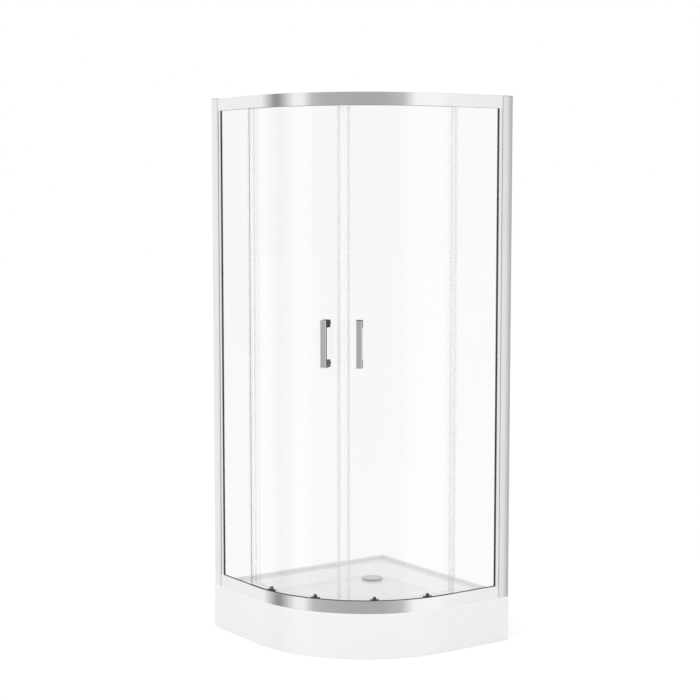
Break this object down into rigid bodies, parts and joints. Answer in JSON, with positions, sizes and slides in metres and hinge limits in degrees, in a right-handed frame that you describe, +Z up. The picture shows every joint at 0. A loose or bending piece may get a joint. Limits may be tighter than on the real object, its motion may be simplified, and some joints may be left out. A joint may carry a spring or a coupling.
{
  "type": "quadrant shower enclosure",
  "caption": "Quadrant shower enclosure on a low tray: flat fixed panes at both walls and curved glass doors that slide apart on rollers from the middle.",
  "frame": {"origin": "on the floor, at the centre of the square footprint of the tray", "axes": "+Z up; -X towards the left wall, +Y towards the back wall; the rounded corner points to +X and -Y"},
  "size_m": [0.8, 0.8, 2.015],
  "materials": {
    "tray_acrylic": "gloss white",
    "frame_steel": "grey coated",
    "zinc_steel": "zinc plated",
    "foot_rubber": "matt black",
    "waste_plastic": "matt pale grey",
    "waste_chrome": "polished chrome",
    "rail_metal": "polished bright",
    "handle_metal": "polished chrome",
    "clear_glass": "clear polished",
    "clear_seal": "clear flexible",
    "gasket_rubber": "matt dark grey",
    "grey_plastic": "satin dark grey",
    "cap_plastic": "satin grey",
    "washer_plastic": "dark grey moulded",
    "wheel_plastic": "white acetal"
  },
  "bodies": {
    "root": {"tray_shell": "tray_acrylic", "tray_support_frame": "frame_steel", "foot_studs_and_nuts": "zinc_steel", "foot_pads": "foot_rubber", "waste_body": "waste_plastic", "waste_flange": "waste_chrome", "waste_gasket": "gasket_rubber", "waste_trap_insert": "waste_plastic", "top_rail": "rail_metal", "bottom_rail": "rail_metal", "rail_end_blocks": "grey_plastic", "rail_screws": "zinc_steel", "glass_gaskets": "gasket_rubber", "wall_profile_caps": "cap_plastic", "door_stops": "gasket_rubber", "wall_profile_right": "rail_metal", "side_profile_right": "rail_metal", "fixed_glass_right": "clear_glass", "fixed_edge_seal_right": "clear_seal", "wall_profile_left": "rail_metal", "side_profile_left": "rail_metal", "fixed_glass_left": "clear_glass", "fixed_edge_seal_left": "clear_seal"},
    "waste_cover": {"waste_cover": "waste_chrome"},
    "door_right": {"door_glass_right": "clear_glass", "magnet_seal_right": "clear_seal", "trailing_seal_right": "clear_seal", "handle_right": "handle_metal", "handle_bolts_right": "handle_metal", "handle_washers_right": "washer_plastic", "upper_axles_right": "handle_metal", "upper_bushes_right": "washer_plastic", "lower_housings_right": "grey_plastic", "housing_screws_right": "zinc_steel", "release_spring_right_lead": "zinc_steel", "release_spring_right_trail": "zinc_steel"},
    "upper_wheel_right_lead": {"upper_wheel_right_lead": "wheel_plastic"},
    "lower_wheel_right_lead": {"lower_wheel_right_lead": "wheel_plastic"},
    "release_plunger_right_lead": {"release_plunger_right_lead": "grey_plastic"},
    "upper_wheel_right_trail": {"upper_wheel_right_trail": "wheel_plastic"},
    "lower_wheel_right_trail": {"lower_wheel_right_trail": "wheel_plastic"},
    "release_plunger_right_trail": {"release_plunger_right_trail": "grey_plastic"},
    "door_left": {"door_glass_left": "clear_glass", "magnet_seal_left": "clear_seal", "trailing_seal_left": "clear_seal", "handle_left": "handle_metal", "handle_bolts_left": "handle_metal", "handle_washers_left": "washer_plastic", "upper_axles_left": "handle_metal", "upper_bushes_left": "washer_plastic", "lower_housings_left": "grey_plastic", "housing_screws_left": "zinc_steel", "release_spring_left_lead": "zinc_steel", "release_spring_left_trail": "zinc_steel"},
    "upper_wheel_left_lead": {"upper_wheel_left_lead": "wheel_plastic"},
    "lower_wheel_left_lead": {"lower_wheel_left_lead": "wheel_plastic"},
    "release_plunger_left_lead": {"release_plunger_left_lead": "grey_plastic"},
    "upper_wheel_left_trail": {"upper_wheel_left_trail": "wheel_plastic"},
    "lower_wheel_left_trail": {"lower_wheel_left_trail": "wheel_plastic"},
    "release_plunger_left_trail": {"release_plunger_left_trail": "grey_plastic"}
  },
  "joints": [
    {"name": "door_right_slide", "type": "hinge", "parent": "root", "child": "door_right", "pos_m": [-0.22465, 0.13692, 1.1], "axis": [0, 0, 1], "range_deg": [0, 18]},
    {"name": "door_left_slide", "type": "hinge", "parent": "root", "child": "door_left", "pos_m": [-0.13692, 0.22465, 1.1], "axis": [0, 0, 1], "range_deg": [-18, 0]},
    {"name": "upper_wheel_right_lead_spin", "type": "hinge", "parent": "door_right", "child": "upper_wheel_right_lead", "pos_m": [0.31481, -0.1542, 1.996], "axis": [0.8526, -0.5225, 0], "continuous": true},
    {"name": "release_plunger_right_lead_pull", "type": "slide", "parent": "door_right", "child": "release_plunger_right_lead", "axis": [0, 0, 1], "range_m": [0, 0.006], "stiffness_N_per_m": 300, "springref_m": -0.003, "deforming": ["release_spring_right_lead"]},
    {"name": "lower_wheel_right_lead_spin", "type": "hinge", "parent": "release_plunger_right_lead", "child": "lower_wheel_right_lead", "pos_m": [0.29435, -0.14166, 0.176], "axis": [0.8526, -0.5225, 0], "continuous": true},
    {"name": "upper_wheel_right_trail_spin", "type": "hinge", "parent": "door_right", "child": "upper_wheel_right_trail", "pos_m": [0.38337, 0.04493, 1.996], "axis": [0.9936, -0.1132, 0], "continuous": true},
    {"name": "release_plunger_right_trail_pull", "type": "slide", "parent": "door_right", "child": "release_plunger_right_trail", "axis": [0, 0, 1], "range_m": [0, 0.006], "stiffness_N_per_m": 300, "springref_m": -0.003, "deforming": ["release_spring_right_trail"]},
    {"name": "lower_wheel_right_trail_spin", "type": "hinge", "parent": "release_plunger_right_trail", "child": "lower_wheel_right_trail", "pos_m": [0.35953, 0.04764, 0.176], "axis": [0.9936, -0.1132, 0], "continuous": true},
    {"name": "upper_wheel_left_lead_spin", "type": "hinge", "parent": "door_left", "child": "upper_wheel_left_lead", "pos_m": [0.1542, -0.31481, 1.996], "axis": [0.5225, -0.8526, 0], "continuous": true},
    {"name": "release_plunger_left_lead_pull", "type": "slide", "parent": "door_left", "child": "release_plunger_left_lead", "axis": [0, 0, 1], "range_m": [0, 0.006], "stiffness_N_per_m": 300, "springref_m": -0.003, "deforming": ["release_spring_left_lead"]},
    {"name": "lower_wheel_left_lead_spin", "type": "hinge", "parent": "release_plunger_left_lead", "child": "lower_wheel_left_lead", "pos_m": [0.14166, -0.29435, 0.176], "axis": [0.5225, -0.8526, 0], "continuous": true},
    {"name": "upper_wheel_left_trail_spin", "type": "hinge", "parent": "door_left", "child": "upper_wheel_left_trail", "pos_m": [-0.04493, -0.38337, 1.996], "axis": [0.1132, -0.9936, 0], "continuous": true},
    {"name": "release_plunger_left_trail_pull", "type": "slide", "parent": "door_left", "child": "release_plunger_left_trail", "axis": [0, 0, 1], "range_m": [0, 0.006], "stiffness_N_per_m": 300, "springref_m": -0.003, "deforming": ["release_spring_left_trail"]},
    {"name": "lower_wheel_left_trail_spin", "type": "hinge", "parent": "release_plunger_left_trail", "child": "lower_wheel_left_trail", "pos_m": [-0.04764, -0.35953, 0.176], "axis": [0.1132, -0.9936, 0], "continuous": true},
    {"name": "waste_cover_lift", "type": "slide", "parent": "root", "child": "waste_cover", "axis": [0, 0, 1], "range_m": [0, 0.06]}
  ],
  "couplings": [
    {"joint": "upper_wheel_right_lead_spin", "follows": "door_right_slide", "ratio": -57.289},
    {"joint": "lower_wheel_right_lead_spin", "follows": "door_right_slide", "ratio": -73.629},
    {"joint": "upper_wheel_right_trail_spin", "follows": "door_right_slide", "ratio": -57.471},
    {"joint": "lower_wheel_right_trail_spin", "follows": "door_right_slide", "ratio": -73.87},
    {"joint": "upper_wheel_left_lead_spin", "follows": "door_left_slide", "ratio": -57.289},
    {"joint": "lower_wheel_left_lead_spin", "follows": "door_left_slide", "ratio": -73.629},
    {"joint": "upper_wheel_left_trail_spin", "follows": "door_left_slide", "ratio": -57.471},
    {"joint": "lower_wheel_left_trail_spin", "follows": "door_left_slide", "ratio": -73.87}
  ]
}
